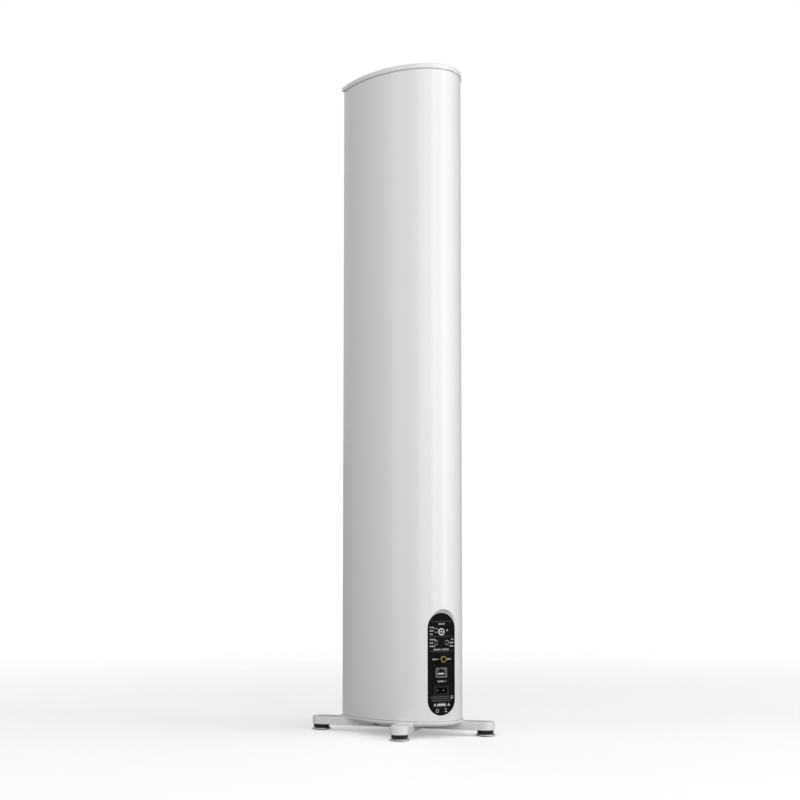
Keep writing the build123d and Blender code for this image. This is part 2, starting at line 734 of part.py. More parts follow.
def coax_insulator():
    x, z = on_panel(COAX_PLACE)
    back = PANEL_FACE - PANEL_THICKNESS
    body = block((x - 6, BOARD_FRONT, z - 4.6), (x + 6, back, z + 4.6))
    front = PANEL_FACE + BARREL_LENGTH - 0.6
    sleeve = rod(BARREL_BORE, back - 1, front, x, z)
    centre = rod(CENTRE_BORE, front - CENTRE_DEPTH, front + 1, x, z)
    return body + sleeve - centre


def ethernet_jack():
    x, z = on_panel(ETHERNET_PLACE)
    half_x, half_z = ETHERNET_SIZE[0] / 2, ETHERNET_SIZE[1] / 2
    front = PANEL_FACE + PROUD
    inner_x = half_x - ETHERNET_WALL
    inner_z = half_z - ETHERNET_WALL
    shield = block((x - half_x, BOARD_FRONT, z - half_z), (x + half_x, front, z + half_z))
    shield = fillet(shield.edges().filter_by(Axis.Y), 0.9)
    inside = block((x - inner_x, BOARD_FRONT - 1, z - inner_z), (x + inner_x, front + 1, z + inner_z))
    return shield - inside


def ethernet_insert():
    x, z = on_panel(ETHERNET_PLACE)
    gap = 0.05
    half_x = ETHERNET_SIZE[0] / 2 - ETHERNET_WALL - gap
    half_z = ETHERNET_SIZE[1] / 2 - ETHERNET_WALL - gap
    front = PANEL_FACE + PROUD - 0.5
    floor = front - ETHERNET_DEPTH
    body = block((x - half_x, BOARD_FRONT, z - half_z), (x + half_x, front, z + half_z))
    cavity = block((x - 5.95, floor, z - 4.4), (x + 5.95, front + 1, z + 2.6))
    latch = block((x - 3.2, floor, z + 2.5), (x + 3.2, front + 1, z + 4.4))
    return body - cavity - latch


def mains_inlet():
    x, z = on_panel(INLET_PLACE)
    half_x, half_z = INLET_SIZE[0] / 2, INLET_SIZE[1] / 2
    front = PANEL_FACE + PROUD
    floor = front - INLET_DEPTH
    reach = PIN_SPACING / 2
    body = block((x - half_x, BOARD_FRONT, z - half_z), (x + half_x, front, z + half_z))
    body = fillet(body.edges().filter_by(Axis.Y), 0.8)
    for side in (-1, 1):
        body -= rod(4.1, floor, front + 1, x + side * reach, z)
    body -= block((x - reach, floor, z - 3.3), (x + reach, front + 1, z + 3.3))
    return body


def inlet_pins():
    x, z = on_panel(INLET_PLACE)
    floor = PANEL_FACE + PROUD - INLET_DEPTH
    tip = floor + 9.9
    profile = [(0, floor), (PIN_RADIUS, floor), (PIN_RADIUS, tip - 0.9), (PIN_RADIUS - 0.5, tip), (0, tip)]
    pin = turned(profile)
    return Compound([along_y(pin, x + side * PIN_SPACING / 2, z) for side in (-1, 1)])


# ---- electronics ----
def main_board():
    board = block((-18.5, BOARD_BACK, PANEL_Z - 60), (18.5, BOARD_FRONT, PANEL_Z + 60))
    for x in (-15.5, 15.5):
        for z in (-56, 56):
            board -= rod(1.6, BOARD_BACK - 1, BOARD_FRONT + 1, x, PANEL_Z + z)
    return board


def board_parts():
    pieces = []
    for place in SELECTORS.values():
        x, z = on_panel(place)
        pieces.append(block((x - 3.8, BOARD_FRONT, z - 4), (x + 3.8, 70.0, z + 4)))
    x, z = on_panel(BUTTON_PLACE)
    pieces.append(block((x - 3, BOARD_FRONT, z - 3), (x + 3, 70.1, z + 3)))
    chips = [(-8, 118, 12, 14), (8, 118, 12, 14), (0, 96, 14, 14), (-9, 78, 9, 7), (9, 78, 9, 7)]
    for x, z, width, height in chips:
        low = (x - width / 2, BOARD_BACK - 2.2, z - height / 2)
        high = (x + width / 2, BOARD_BACK, z + height / 2)
        pieces.append(block(low, high))
    for x, z in [(-10, 60), (0, 60), (10, 60), (-6, 46), (6, 46)]:
        pieces.append(rod(4.2, BOARD_BACK - 12, BOARD_BACK, x, z))
    for x in (-10, 10):
        pieces.append(block((x - 5.5, BOARD_BACK - 9, 134), (x + 5.5, BOARD_BACK, 146)))
    return Compound(pieces)


def power_supply():
    """An upright bracket on the bottom cap with the supply's board and its parts."""
    floor = SHELL_BOTTOM + PLUG_DEPTH
    bracket = block((-36, 16, floor), (36, 18, 150)) + block((-36, 18, floor), (36, 34, floor + 2))
    pieces = [bracket]
    board = block((-34, 21, 40), (34, 22.6, 146))
    pieces.append(board)
    for x in (-30, 30):
        for z in (46, 140):
            pieces.append(rod(2.4, 18, 21, x, z))
    pieces.append(block((-16, 22.6, 82), (16, 44, 112)))
    pieces.append(block((-30, 22.6, 118), (-12, 36, 138)))
    for x, z, radius, length in [(20, 126, 9, 24), (-22, 60, 8, 22), (-2, 60, 8, 22), (18, 60, 6, 18)]:
        pieces.append(rod(radius, 22.6, 22.6 + length, x, z))
    pieces.append(block((24, 22.6, 78), (27, 44, 114)))
    return Compound(pieces)


def wiring_loom():
    """A taped trunk of wires up the rear of the cabinet, with a branch to each drive unit."""
    trunk_y = 52.0
    radius = 2.6
    trunk = Cylinder(radius, TWEETER_Z - 170.0, align=LOW)
    loom = Pos(0, trunk_y, 170) * trunk
    motor_back = MOTOR_FRONT + 2 * PLATE_DEPTH + MAGNET_DEPTH
    for z in list(WOOFER_Z.values()) + [MIDRANGE_Z]:
        loom += rod(2.0, motor_back, trunk_y, 0, z)
    loom += rod(2.0, -26, trunk_y, 0, TWEETER_Z - 4)
    loom += rod(2.0, trunk_y, BOARD_BACK + 10, 0, 176)
    loom += post(2.0, 146.5, 176, 0, 62.5)
    return loom


save(cabinet_shell(), "cabinet_shell")
save(top_cap(), "top_cap")
save(bottom_cap(), "bottom_cap")
save(stand_base(), "stand_base")
save(stand_bolts(), "stand_bolts")
for corner, foot in FEET.items():
    save(foot_pad(foot), "foot_pad_" + corner)
    save(foot_screw(foot), "foot_screw_" + corner)

save(front_baffle(), "front_baffle")
save(baffle_screws(), "baffle_screws")
save(cross_braces(), "cross_braces")
save(midrange_chamber(), "midrange_chamber")
for node, height in driver_places().items():
    spec = DRIVERS[node]
    save(basket(spec, height), node + "_basket")
    save(motor(spec, height), node + "_motor")
    save(surround(spec, height), node + "_surround")
    save(cone(spec, height), node + "_cone")
    save(voice_coil(spec, height), node + "_voice_coil")
    save(spider(spec, height), node + "_spider")
save(driver_screws(), "driver_screws")
save(tweeter_faceplate(), "tweeter_faceplate")
save(tweeter_diaphragm(), "tweeter_diaphragm")
save(tweeter_magnet(), "tweeter_magnet")

save(grille_frame(), "grille_frame")
save(grille_cloth(), "grille_cloth")
save(grille_magnets(), "grille_magnets")

save(panel_bezel(), "panel_bezel")
save(control_panel(), "control_panel")
save(setup_button_ring(), "setup_button_ring")
save(setup_button(), "setup_button")
for node, place in SELECTORS.items():
    save(selector(place), node)
save(status_lens(), "status_lens")
save(coax_jack(), "coax_jack")
save(coax_insulator(), "coax_insulator")
save(ethernet_jack(), "ethernet_jack")
save(ethernet_insert(), "ethernet_insert")
save(mains_inlet(), "mains_inlet")
save(inlet_pins(), "inlet_pins")
save(main_board(), "main_board")
save(board_parts(), "board_parts")
save(power_supply(), "power_supply")
save(wiring_loom(), "wiring_loom")
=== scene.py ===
# %% [markdown]
# # A white column loudspeaker on a four-armed stand
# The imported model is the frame: its nodes are the real pieces, at their real size and place. This lesson
# dresses them, and adds what is too fine or too soft for the frame: the printing on the rear panel, the
# contacts in the sockets, the rubber surrounds that bend, and the cloth stretched over the grille.
# Loading comes first, because every place and size below is read from the frame.

# %% Load the frame
import bpy
import bmesh
import math
from mathutils import Matrix, Vector


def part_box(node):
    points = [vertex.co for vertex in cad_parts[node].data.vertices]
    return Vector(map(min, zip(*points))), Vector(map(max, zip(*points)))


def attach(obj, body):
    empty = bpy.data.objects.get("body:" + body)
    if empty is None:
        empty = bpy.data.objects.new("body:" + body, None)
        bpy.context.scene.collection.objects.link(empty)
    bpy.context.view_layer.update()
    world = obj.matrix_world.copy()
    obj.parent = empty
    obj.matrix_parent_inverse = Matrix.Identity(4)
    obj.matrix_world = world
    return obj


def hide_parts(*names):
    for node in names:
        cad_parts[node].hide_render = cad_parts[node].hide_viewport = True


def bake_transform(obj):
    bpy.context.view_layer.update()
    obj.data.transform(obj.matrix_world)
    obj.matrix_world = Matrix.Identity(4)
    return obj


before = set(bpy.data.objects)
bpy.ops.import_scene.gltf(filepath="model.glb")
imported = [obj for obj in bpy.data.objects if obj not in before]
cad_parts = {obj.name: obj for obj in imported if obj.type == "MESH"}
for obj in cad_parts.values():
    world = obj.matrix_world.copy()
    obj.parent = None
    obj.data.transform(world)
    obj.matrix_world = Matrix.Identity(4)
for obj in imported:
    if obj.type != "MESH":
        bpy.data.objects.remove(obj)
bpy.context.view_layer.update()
MM = 0.001

# %% [markdown]
# ## Camera
# A tall thin object is seen from behind. The camera stands low, a little above the control panel, and tips
# up by a few degrees, so the top cap shows its edge from below and the feet are seen from above. A long
# lens keeps the cabinet's sides almost parallel. The lens is shifted only a little, because every other
# view of the scene keeps the shift.

# %% The camera
CAMERA_PLACE = Vector((1.0689, 1.9799, 0.2238))
CAMERA_TURN = math.radians(28.04)
CAMERA_TIP = math.radians(4.986)
LENS = 75.556
SHIFT_UP = 0.02

camera_data = bpy.data.cameras.new("camera")
camera_data.lens = LENS
camera_data.sensor_width = 36.0
camera_data.shift_y = SHIFT_UP
camera = bpy.data.objects.new("camera", camera_data)
bpy.context.scene.collection.objects.link(camera)
camera.location = CAMERA_PLACE
camera.rotation_euler = (math.pi / 2 + CAMERA_TIP, 0.0, math.pi - CAMERA_TURN)
bpy.context.scene.camera = camera
print("camera", [round(v, 3) for v in CAMERA_PLACE])

# %% [markdown]
# ## Floor and light
# The floor is a pale disc that fades out towards its rim, so that no horizon line cuts the picture. The
# fade is a mix of the floor's shader with a transparent one, driven by the distance from the middle.
# Light comes from a row of six tall soft boxes round the rear half, a weaker one in front, one overhead,
# and a grey surround that darkens towards the front. The curved cabinet turns that into a slow ramp from
# shade to light. Each box's power is set so that the ramp has no bands.

# %% The floor
FLOOR_RADIUS = 2.2
FADE_START = 0.3        # metres from the middle where the floor begins to fade
FADE_END = 0.97         # share of the radius where it has gone
FLOOR_TONE = 0.86
FLOOR_GLOW = 0.36
FLOOR_BOUNCE = 0.47     # the floor's tone for the light that it throws back on the cabinet


def floor_material():
    mat = bpy.data.materials.new("studio_floor")
    mat.use_nodes = True
    tree = mat.node_tree
    shader = tree.nodes["Principled BSDF"]
    shader.inputs["Base Color"].default_value = (FLOOR_TONE, FLOOR_TONE, FLOOR_TONE, 1)
    shader.inputs["Roughness"].default_value = 0.7
    shader.inputs["Emission Color"].default_value = (1, 1, 1, 1)
    shader.inputs["Emission Strength"].default_value = FLOOR_GLOW
    coords = tree.nodes.new("ShaderNodeTexCoord")
    length = tree.nodes.new("ShaderNodeVectorMath")
    length.operation = "LENGTH"
    tree.links.new(coords.outputs["Object"], length.inputs[0])
    fade = tree.nodes.new("ShaderNodeMapRange")
    fade.interpolation_type = "SMOOTHSTEP"
    fade.inputs["From Min"].default_value = FADE_START
    fade.inputs["From Max"].default_value = FLOOR_RADIUS * FADE_END
    tree.links.new(length.outputs["Value"], fade.inputs["Value"])
    quiet = tree.nodes.new("ShaderNodeBsdfDiffuse")
    quiet.inputs["Color"].default_value = (FLOOR_BOUNCE, FLOOR_BOUNCE, FLOOR_BOUNCE, 1)
    ray = tree.nodes.new("ShaderNodeLightPath")
    seen = tree.nodes.new("ShaderNodeMixShader")
    tree.links.new(ray.outputs["Is Camera Ray"], seen.inputs["Fac"])
    tree.links.new(quiet.outputs["BSDF"], seen.inputs[1])
    tree.links.new(shader.outputs["BSDF"], seen.inputs[2])
    clear = tree.nodes.new("ShaderNodeBsdfTransparent")
    mix = tree.nodes.new("ShaderNodeMixShader")
    tree.links.new(fade.outputs["Result"], mix.inputs["Fac"])
    tree.links.new(seen.outputs["Shader"], mix.inputs[1])
    tree.links.new(clear.outputs["BSDF"], mix.inputs[2])
    tree.links.new(mix.outputs["Shader"], tree.nodes["Material Output"].inputs["Surface"])
    return mat


floor_bm = bmesh.new()
bmesh.ops.create_circle(floor_bm, cap_ends=True, segments=96, radius=FLOOR_RADIUS)
floor_mesh = bpy.data.meshes.new("floor")
floor_bm.to_mesh(floor_mesh)
floor_bm.free()
floor_mesh.materials.append(floor_material())
floor = bpy.data.objects.new("floor", floor_mesh)
bpy.context.scene.collection.objects.link(floor)
print("floor radius", FLOOR_RADIUS)

# %% The lights
AIM = Vector((0, 0, 0.45))      # the middle of the cabinet
LIGHTS = {
    # name: (turn from +Y towards +X in degrees, distance, height, width, tall, watts)
    "soft_box_far_right": (-60.0, 2.6, 0.8, 0.9, 2.2, 6.0),
    "soft_box_right": (-35.0, 2.6, 0.8, 0.9, 2.2, 19.0),
    "soft_box_middle_right": (-15.0, 2.6, 0.8, 0.9, 2.2, 4.5),
    "soft_box_middle": (5.0, 2.6, 0.8, 0.9, 2.2, 13.0),
    "soft_box_left": (40.0, 2.6, 0.8, 0.9, 2.2, 9.5),
    "soft_box_far_left": (90.0, 2.6, 0.8, 0.9, 2.2, 8.0),
    "soft_box_front": (180.0, 2.8, 1.5, 1.8, 1.8, 6.0),
    "soft_box_top": (60.0, 0.4, 2.9, 2.0, 2.0, 6.0),
}


def add_light(name, turn, distance, height, width, tall, watts):
    data = bpy.data.lights.new(name, "AREA")
    data.shape = "RECTANGLE"
    data.size = width
    data.size_y = tall
    data.energy = watts
    lamp = bpy.data.objects.new(name, data)
    bpy.context.scene.collection.objects.link(lamp)
    turn = math.radians(turn)
    lamp.location = (math.sin(turn) * distance, math.cos(turn) * distance, height)
    aim = AIM - lamp.location
    lamp.rotation_euler = aim.to_track_quat("-Z", "Y").to_euler()


for name, values in LIGHTS.items():
    add_light(name, *values)

print("lights", len(LIGHTS))

# %% The surround and the backdrop
SURROUND_STRENGTH = 1.02
SURROUND_DARKEST = 0.3      # share of the strength that is left in front
SURROUND_FRONT = -0.9       # the directions, along Y, between which it brightens
SURROUND_REAR = 0.3

world = bpy.data.worlds.new("studio")
bpy.context.scene.world = world
world.use_nodes = True
world_tree = world.node_tree
surround_light = world_tree.nodes["Background"]
surround_light.inputs["Color"].default_value = (0.5, 0.5, 0.505, 1)
way = world_tree.nodes.new("ShaderNodeTexCoord")
split = world_tree.nodes.new("ShaderNodeSeparateXYZ")
world_tree.links.new(way.outputs["Generated"], split.inputs["Vector"])
ramp = world_tree.nodes.new("ShaderNodeMapRange")
ramp.inputs["From Min"].default_value = SURROUND_FRONT
ramp.inputs["From Max"].default_value = SURROUND_REAR
ramp.inputs["To Min"].default_value = SURROUND_STRENGTH * SURROUND_DARKEST
ramp.inputs["To Max"].default_value = SURROUND_STRENGTH
world_tree.links.new(split.outputs["Y"], ramp.inputs["Value"])
world_tree.links.new(ramp.outputs["Result"], surround_light.inputs["Strength"])
backdrop = world_tree.nodes.new("ShaderNodeBackground")
backdrop.inputs["Color"].default_value = (1, 1, 1, 1)
ray = world_tree.nodes.new("ShaderNodeLightPath")
choose = world_tree.nodes.new("ShaderNodeMixShader")
world_tree.links.new(ray.outputs["Is Camera Ray"], choose.inputs["Fac"])
world_tree.links.new(surround_light.outputs["Background"], choose.inputs[1])
world_tree.links.new(backdrop.outputs["Background"], choose.inputs[2])
world_tree.links.new(choose.outputs["Shader"], world_tree.nodes["World Output"].inputs["Surface"])
bpy.context.scene.view_settings.view_transform = "Standard"
print("surround from", round(SURROUND_STRENGTH * SURROUND_DARKEST, 3), "to", SURROUND_STRENGTH)

# %% [markdown]
# ## Material tools
# Every finish starts the same way: a Principled shader whose colour, roughness and surface height vary a
# little in space. Small helpers keep the recipes short. Patterns read Object coordinates, in metres, so a
# scale of 400 means features about 2.5 mm across. Values that are even all over a piece, such as the
# coat on the lacquer, are typed straight into the shader's own sockets.

# %% Helpers for finishes
def start(name, color, roughness, metallic=0.0):
    mat = bpy.data.materials.new(name)
    mat.use_nodes = True
    tree = mat.node_tree
    shader = tree.nodes["Principled BSDF"]
    shader.inputs["Base Color"].default_value = (*color, 1)
    shader.inputs["Roughness"].default_value = roughness
    shader.inputs["Metallic"].default_value = metallic
    place = tree.nodes.new("ShaderNodeTexCoord").outputs["Object"]
    return mat, tree, shader, place


def stretched(tree, place, scale):
    """The same coordinates, stretched by a factor along each axis."""
    node = tree.nodes.new("ShaderNodeMapping")
    node.inputs["Scale"].default_value = scale
    tree.links.new(place, node.inputs["Vector"])
    return node.outputs["Vector"]


def noise(tree, place, scale, detail=3.0, roughness=0.55):
    node = tree.nodes.new("ShaderNodeTexNoise")
    node.inputs["Scale"].default_value = scale
    node.inputs["Detail"].default_value = detail
    node.inputs["Roughness"].default_value = roughness
    tree.links.new(place, node.inputs["Vector"])
    return node.outputs["Fac"]


def remap(tree, value, low, high, from_low=0.25, from_high=0.75):
    node = tree.nodes.new("ShaderNodeMapRange")
    node.inputs["From Min"].default_value = from_low
    node.inputs["From Max"].default_value = from_high
    node.inputs["To Min"].default_value = low
    node.inputs["To Max"].default_value = high
    tree.links.new(value, node.inputs["Value"])
    return node.outputs["Result"]


def two_colors(tree, value, first, second, from_low=0.3, from_high=0.7):
    node = tree.nodes.new("ShaderNodeValToRGB")
    node.color_ramp.elements[0].position = from_low
    node.color_ramp.elements[0].color = (*first, 1)
    node.color_ramp.elements[1].position = from_high
    node.color_ramp.elements[1].color = (*second, 1)
    tree.links.new(value, node.inputs["Fac"])
    return node.outputs["Color"]


def sums(tree, operation, first, second):
    """One maths step on two values, each a socket or a number."""
    node = tree.nodes.new("ShaderNodeMath")
    node.operation = operation
    for number, value in enumerate((first, second)):
        if isinstance(value, (int, float)):
            node.inputs[number].default_value = value
        else:
            tree.links.new(value, node.inputs[number])
    return node.outputs["Value"]


def axes(tree, place):
    node = tree.nodes.new("ShaderNodeSeparateXYZ")
    tree.links.new(place, node.inputs["Vector"])
    return node.outputs["X"], node.outputs["Y"], node.outputs["Z"]


def raise_surface(tree, shader, height, depth, strength=1.0, under=None):
    node = tree.nodes.new("ShaderNodeBump")
    node.inputs["Distance"].default_value = depth
    node.inputs["Strength"].default_value = strength
    tree.links.new(height, node.inputs["Height"])
    if under is not None:
        tree.links.new(under, node.inputs["Normal"])
    tree.links.new(node.outputs["Normal"], shader.inputs["Normal"])
    return node.outputs["Normal"]


print("helpers ready")

# %% [markdown]
# ## White lacquer
# The cabinet is a painted aluminium extrusion and the stand a painted casting. Sprayed lacquer is not a
# flat colour: it has orange peel, a shallow ripple a few millimetres across, a clear satin coat, and a
# very faint clouding. The ripple has to stay in hundredths of a millimetre or the wall looks hammered.

# %% Lacquer and white mouldings
def lacquer(name, tone, roughness, coat, peel):
    mat, tree, shader, place = start(name, (tone, tone, tone * 0.995), roughness)
    cloud = noise(tree, place, 9.0, 2.0)
    clouded = (tone * 0.985, tone * 0.985, tone * 0.975)
    shade = two_colors(tree, cloud, clouded, (tone, tone, tone * 0.998))
    tree.links.new(shade, shader.inputs["Base Color"])
    grain = noise(tree, place, 60.0, 4.0)
    tree.links.new(remap(tree, grain, roughness - 0.03, roughness + 0.05), shader.inputs["Roughness"])
    shader.inputs["Coat Weight"].default_value = coat
    shader.inputs["Coat Roughness"].default_value = 0.16
    ripple = raise_surface(tree, shader, noise(tree, place, 330.0, 1.5), peel, 0.6)
    raise_surface(tree, shader, noise(tree, place, 2600.0, 2.0), peel * 0.12, 0.5, ripple)
    return mat


WHITE_LACQUER = lacquer("white_lacquer", 0.82, 0.36, 0.35, 0.00003)
WHITE_MOULDING = lacquer("white_moulding", 0.83, 0.33, 0.2, 0.000018)
print("white finishes ready")

# %% [markdown]
# ## Dark finishes
# The rear panel is powder coated: a dense, fine pebble grain. Moulded black plastics are a little
# smoother, with a faint spark-eroded texture. Black screws and collars are oxidised steel, mottled and
# slightly glossy. Each gets its own grain size, because that is what tells them apart side by side.

# %% Powder coat, moulded black, black steel
def grained(name, color, roughness, scale, depth, metallic=0.0, mottle=0.3, gloss=0.5):
    mat, tree, shader, place = start(name, color, roughness, metallic)
    shader.inputs["Specular IOR Level"].default_value = gloss
    patch = noise(tree, place, scale * 0.08, 3.0)
    light = tuple(c * (1 + mottle) for c in color)
    dark = tuple(c * (1 - mottle) for c in color)
    tree.links.new(two_colors(tree, patch, dark, light), shader.inputs["Base Color"])
    pebble = noise(tree, place, scale, 2.5, 0.6)
    tree.links.new(remap(tree, pebble, roughness - 0.07, roughness + 0.08), shader.inputs["Roughness"])
    raise_surface(tree, shader, pebble, depth, 0.8)
    return mat


BLACK_PANEL = grained("black_panel", (0.0035, 0.0035, 0.0038), 0.5, 2200.0, 0.00004, gloss=0.06)
BLACK_MOULDING = grained("black_moulding", (0.006, 0.006, 0.0064), 0.36, 1500.0, 0.00003, gloss=0.15)
SOCKET_GREY = grained("socket_grey", (0.11, 0.11, 0.113), 0.5, 900.0, 0.00003, gloss=0.3)
BLACK_STEEL = grained("black_steel", (0.014, 0.014, 0.015), 0.4, 900.0, 0.00003, 0.35, 0.4)
BLACK_CASTING = grained("black_casting", (0.018, 0.018, 0.019), 0.5, 700.0, 0.00008, 0.0, 0.35)
FRAME_MOULDING = grained("grille_moulding", (0.02, 0.02, 0.021), 0.55, 1200.0, 0.00004)
print("dark finishes ready")

# %% [markdown]
# ## Bright metals
# The feet and the ring round the button are turned on a lathe, so their marks run round the axis. On the
# foot the axis is upright: fine noise, stretched until it varies only with height, draws rings on the
# cone. On the button ring the axis points out of the panel, so the noise varies with the distance from
# the ring's centre instead.

# %% Turned, plated and drawn metals
def turned_metal(name, color, roughness, rings):
    """rings(tree, place) gives the value that the lathe marks vary with."""
    mat, tree, shader, place = start(name, color, roughness, 1.0)
    marks = tree.nodes.new("ShaderNodeTexNoise")
    marks.noise_dimensions = "1D"
    marks.inputs["Scale"].default_value = 5200.0
    marks.inputs["Detail"].default_value = 3.0
    tree.links.new(rings(tree, place), marks.inputs["W"])
    polish = remap(tree, marks.outputs["Fac"], roughness - 0.05, roughness + 0.09)
    tree.links.new(polish, shader.inputs["Roughness"])
    smudge = noise(tree, place, 160.0, 3.0)
    dull = tuple(c * 0.9 for c in color)
    tree.links.new(two_colors(tree, smudge, dull, color), shader.inputs["Base Color"])
    raise_surface(tree, shader, marks.outputs["Fac"], 0.00002, 0.7)
    return mat


def height_rings(tree, place):
    return axes(tree, place)[2]


def rings_round(node):
    """Rings round the middle of a node that faces along Y."""
    low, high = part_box(node)
    centre = (Vector(low) + Vector(high)) / 2

    def rings(tree, place):
        x, _, z = axes(tree, place)
        across = sums(tree, "SUBTRACT", x, centre.x)
        up = sums(tree, "SUBTRACT", z, centre.z)
        across_square = sums(tree, "MULTIPLY", across, across)
        up_square = sums(tree, "MULTIPLY", up, up)
        return sums(tree, "SQRT", sums(tree, "ADD", across_square, up_square), 0.0)

    return rings


FOOT_METAL = turned_metal("foot_metal", (0.66, 0.665, 0.68), 0.36, height_rings)
RING_METAL = turned_metal("ring_metal", (0.72, 0.72, 0.73), 0.3, rings_round("setup_button_ring"))
GOLD = turned_metal("gold_plate", (0.5, 0.32, 0.11), 0.3, rings_round("coax_jack"))


def drawn_metal(name, color, roughness, stretch):
    mat, tree, shader, place = start(name, color, roughness, 1.0)
    drawn = noise(tree, stretched(tree, place, stretch), 900.0, 4.0)
    tree.links.new(remap(tree, drawn, roughness - 0.06, roughness + 0.12), shader.inputs["Roughness"])
    dull = tuple(c * 0.8 for c in color)
    tree.links.new(two_colors(tree, noise(tree, place, 220.0), dull, color), shader.inputs["Base Color"])
    raise_surface(tree, shader, drawn, 0.00002, 0.6)
    return mat


TIN_PLATE = drawn_metal("tin_plate", (0.2, 0.2, 0.205), 0.42, (1.0, 0.06, 1.0))
CONTACT_METAL = drawn_metal("contact_metal", (0.95, 0.93, 0.88), 0.5, (1.0, 1.0, 0.1))
PIN_METAL = drawn_metal("pin_metal", (0.3, 0.3, 0.31), 0.35, (1.0, 0.08, 1.0))
MAGNET_STEEL = drawn_metal("magnet_steel", (0.2, 0.2, 0.21), 0.45, (1.0, 1.0, 0.3))
COIL_METAL = drawn_metal("coil_metal", (0.62, 0.4, 0.22), 0.35, (1.0, 24.0, 1.0))
print("metals ready")

# %% [markdown]
# ## Hidden and soft finishes
# Fibreboard shows short fibres, so its noise is stretched flat. Cones are filled plastic with a fine
# radial drag, rubber is dull with a bloom, and the boards carry a woven glass pattern under green
# lacquer. They are seen only when the grille is off or in a cut view, but they are finished all the same.

# %% Board, cone, rubber, ribbon, circuit board
WEAVE_SCALE = 9000.0    # radians a metre, so threads are 0.35 mm apart


def fibreboard():
    mat, tree, shader, place = start("fibreboard", (0.3, 0.2, 0.11), 0.8)
    fibre = noise(tree, stretched(tree, place, (1.0, 0.25, 1.0)), 800.0, 5.0)
    shade = two_colors(tree, fibre, (0.2, 0.13, 0.07), (0.4, 0.28, 0.17))
    tree.links.new(shade, shader.inputs["Base Color"])
    raise_surface(tree, shader, fibre, 0.0002, 0.6)
    return mat


def cone_plastic(node):
    mat, tree, shader, place = start("cone_plastic_" + node, (0.02, 0.02, 0.022), 0.45)
    low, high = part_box(node)
    centre = (Vector(low) + Vector(high)) / 2
    x, _, z = axes(tree, place)
    across = sums(tree, "SUBTRACT", x, centre.x)
    up = sums(tree, "SUBTRACT", z, centre.z)
    turn = sums(tree, "ARCTAN2", across, up)
    drag = tree.nodes.new("ShaderNodeTexNoise")
    drag.noise_dimensions = "1D"
    drag.inputs["Scale"].default_value = 60.0
    drag.inputs["Detail"].default_value = 5.0
    tree.links.new(turn, drag.inputs["W"])
    drawn = sums(tree, "MULTIPLY", drag.outputs["Fac"], 0.5)
    speckle = sums(tree, "MULTIPLY", noise(tree, place, 500.0), 0.5)
    mottle = sums(tree, "ADD", drawn, speckle)
    shade = two_colors(tree, mottle, (0.012, 0.012, 0.013), (0.035, 0.035, 0.038))
    tree.links.new(shade, shader.inputs["Base Color"])
    raise_surface(tree, shader, mottle, 0.0001, 0.5)
    return mat


def rubber():
    mat, tree, shader, place = start("surround_rubber", (0.012, 0.012, 0.012), 0.62)
    bloom = noise(tree, place, 120.0, 4.0)
    shade = two_colors(tree, bloom, (0.009, 0.009, 0.009), (0.02, 0.02, 0.021))
    tree.links.new(shade, shader.inputs["Base Color"])
    raise_surface(tree, shader, noise(tree, place, 2500.0), 0.00003, 0.6)
    return mat


def ribbon_film():
    mat, tree, shader, place = start("ribbon_film", (0.6, 0.5, 0.33), 0.35, 0.6)
    bands = noise(tree, stretched(tree, place, (1.0, 1.0, 0.05)), 1800.0, 2.0)
    shade = two_colors(tree, bands, (0.35, 0.27, 0.15), (0.75, 0.72, 0.66))
    tree.links.new(shade, shader.inputs["Base Color"])
    raise_surface(tree, shader, bands, 0.00003, 0.5)
    return mat


def circuit_board():
    mat, tree, shader, place = start("circuit_board", (0.01, 0.09, 0.03), 0.35)
    x, _, z = axes(tree, place)
    warp = sums(tree, "SINE", sums(tree, "MULTIPLY", x, WEAVE_SCALE), 0)
    weft = sums(tree, "SINE", sums(tree, "MULTIPLY", z, WEAVE_SCALE), 0)
    weave = sums(tree, "MULTIPLY", sums(tree, "MULTIPLY", warp, weft), 0.1)
    tracks = sums(tree, "ADD", weave, noise(tree, stretched(tree, place, (1, 1, 0.2)), 420.0, 1.0))
    shade = two_colors(tree, tracks, (0.006, 0.06, 0.02), (0.02, 0.15, 0.05), 0.45, 0.52)
    tree.links.new(shade, shader.inputs["Base Color"])
    raise_surface(tree, shader, tracks, 0.00004, 0.5)
    return mat


FIBREBOARD = fibreboard()
RUBBER = rubber()
RIBBON_FILM = ribbon_film()
CIRCUIT_BOARD = circuit_board()
COMPONENTS = grained("board_components", (0.03, 0.03, 0.034), 0.4, 800.0, 0.00004, 0.1, 0.5)
SPIDER_CLOTH = grained("spider_cloth", (0.42, 0.3, 0.13), 0.8, 1600.0, 0.0001)
WIRE_SLEEVE = grained("wire_sleeve", (0.02, 0.02, 0.022), 0.6, 1800.0, 0.00015)
LENS_PLASTIC = grained("lens_plastic", (0.35, 0.37, 0.36), 0.18, 500.0, 0.00001)
print("hidden finishes ready")

# %% Dress the frame's own nodes
def dress(node, material):
    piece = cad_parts[node]
    if piece.material_slots:
        for slot in piece.material_slots:
            slot.material = material
    else:
        piece.data.materials.append(material)


